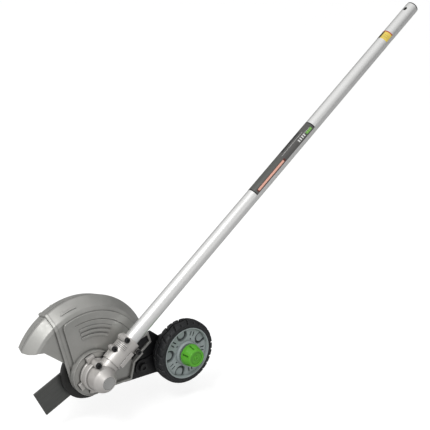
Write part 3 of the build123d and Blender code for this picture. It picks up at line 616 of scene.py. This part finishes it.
# ---------------------------------------------------------------- knob
def knob_piece():
    """Tapered six-lobed clamp knob with a raised ring and a small boss on its end."""
    low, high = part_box("depth_knob")
    front, back = low[1] / MM, high[1] / MM
    rim_r = (high[2] - low[2]) / 2 / MM
    lobes = 6
    groove_half = 1.3
    groove_depth = 2.6
    groove_phase = 0.35
    swell_height = 0.55
    skirt = 2.2
    nose_r = 1.6
    bore_r = 8.6
    bore_depth = 17.9
    face_drop = 1.8
    side_points = 16
    round_steps = 300

    def body_radius(y):
        share = (y - front) / (back - front)
        return rim_r * (0.80 + 0.20 * smooth_step(share, 0.0, 0.95))

    def groove(angle, y, radius):
        """Depth of the grooves between the lobes, less the swell of the lobes."""
        gap = abs(nearest_gap(angle + groove_phase, 2 * math.pi / lobes)) * radius
        inside = 1 - smooth_step(gap, groove_half - 0.7, groove_half + 0.6)
        swell = swell_height * (1 - math.cos(lobes * (angle + groove_phase))) / 2
        reach = smooth_step(back - skirt - y, 0.0, 1.2) * smooth_step(y - front, 3.5, 8.0)
        return groove_depth * inside * reach - swell * smooth_step(y - front, 0.0, 8.0)

    def section(angle):
        end_r = body_radius(front) - 2.2
        points = [(back, bore_r), (back, rim_r - 0.7), (back - 0.3, rim_r - 0.15), (back - 0.9, rim_r),
                  (back - 1.7, rim_r - 0.1)]
        for index in range(side_points + 1):
            y = back - skirt + (front + nose_r - back + skirt) * index / side_points
            radius = min(body_radius(y), rim_r - 0.6)
            points.append((y, radius - groove(angle, y, radius)))
        for turn in (20, 45, 70, 90):
            lean = math.radians(turn)
            radius = body_radius(front + nose_r) - nose_r * (1 - math.cos(lean))
            y = front + nose_r * (1 - math.sin(lean))
            points.append((y, radius - groove(angle, y, radius) * (0.95 if turn < 90 else 0.9)))
        points += [(front, end_r - 2.0), (front + 0.3, end_r - 2.5), (front + face_drop, end_r - 2.9),
                   (front + face_drop, 4.9), (front + 0.5, 4.5), (front + 0.3, 4.0), (front + 0.3, 2.6),
                   (front + 0.6, 2.2), (front + 1.4, 2.0), (front + 1.4, 0.0)]
        return points

    def bored_section(angle):
        return [(back - bore_depth, 0.0), (back - bore_depth, bore_r)] + section(angle)

    mesh = turned_mesh("clamp_knob", bored_section, round_steps, False)
    finish_piece("clamp_knob", mesh, "green_plastic", "knob", "depth_knob", 34)


# ---------------------------------------------------------------- labels
def span_down_tube(name):
    """Lowest and highest distance of a node's points below the tube's top end, in millimetres."""
    reach = [-point.co.dot(UP_SHAFT) / MM for point in frame["nodes"][name].data.vertices]
    return min(reach), max(reach)


def film_piece(name, node, first_turn, last_turn):
    """Film wrapped part of the way round the tube, leaving a bare strip under it."""
    top, bottom = span_down_tube(node)
    outer_r = max((point.co - point.co.dot(UP_SHAFT) * UP_SHAFT).length
                  for point in frame["nodes"][node].data.vertices)
    thickness = 0.00035
    lift = 0.00006
    hem = 0.4
    round_steps = 72
    inner_r = outer_r - thickness
    verts = []
    for step in range(round_steps + 1):
        turn = math.radians(first_turn + (last_turn - first_turn) * step / round_steps)
        outward = ABOVE_SHAFT * math.cos(turn) + NEAR * math.sin(turn)
        ripple = lift * math.sin(5 * turn) * 0.3
        for down, radius in ((top, inner_r), (top, outer_r - lift), (top + hem, outer_r + ripple),
                             (bottom - hem, outer_r + ripple), (bottom, outer_r - lift), (bottom, inner_r)):
            verts.append(outward * radius - UP_SHAFT * (down * MM))
    count = 6
    faces = band_faces(round_steps + 1, round_steps, count, count)
    faces.append(tuple(range(count)))
    faces.append(tuple(round_steps * count + index for index in range(count)))
    mesh = closed_mesh(name, verts, faces)
    finish_piece(name, mesh, SLOTS[node], "frame", node, 40)


MAIN_TOP, MAIN_BOTTOM = span_down_tube("shaft_label")
YELLOW_TOP, YELLOW_BOTTOM = span_down_tube("insertion_label")
MATERIALS = {
    "satin_aluminium": satin_aluminium(),
    "black_nylon": moulded("black_nylon", (0.025, 0.025, 0.026), (0.35, 0.5)),
    "dark_label": dark_film(MAIN_TOP, MAIN_BOTTOM - MAIN_TOP),
    "yellow_label": yellow_film(YELLOW_TOP, YELLOW_BOTTOM - YELLOW_TOP),
    "machined_steel": machined_steel(),
    "cast_aluminium": cast_metal("cast_aluminium", (0.66, 0.635, 0.61), (0.57, 0.55, 0.53), 0.5, 700.0),
    "black_screws": painted_black("black_screws", (0.010, 0.010, 0.011), (0.3, 0.42)),
    "seal_rubber": moulded("seal_rubber", (0.02, 0.02, 0.02), (0.6, 0.7)),
    "guard_casting": cast_metal("guard_casting", (0.45, 0.445, 0.425), (0.385, 0.385, 0.365), 0.45, 800.0),
    "black_plate": painted_black("black_plate", (0.009, 0.009, 0.010), (0.35, 0.5)),
    "zinc_steel": machined_steel("zinc_steel", (0.62, 0.62, 0.6)),
    "black_cup": painted_black("black_cup", (0.013, 0.013, 0.012), (0.3, 0.42)),
    "blade_steel": blade_steel(),
    "hub_plastic": moulded("hub_plastic", (0.42, 0.475, 0.475), (0.35, 0.5)),
    "tyre_rubber": tyre_rubber(),
    "green_plastic": moulded("green_plastic", (0.13, 0.52, 0.035), (0.3, 0.42)),
    "brass": machined_steel("brass", (0.72, 0.5, 0.2)),
}

SLOTS = {entry["node"]: entry["material_slot"] for entry in frame["record"]["subparts"]}

camera()
studio()
for name, slot in SLOTS.items():
    mesh = frame["nodes"][name].data
    mesh.materials.clear()
    mesh.materials.append(MATERIALS[slot])

tyre_piece()
knob_piece()
film_piece("main_label_film", "shaft_label", *MAIN_FILM_TURN)
film_piece("insertion_label_film", "insertion_label", *YELLOW_FILM_TURN)
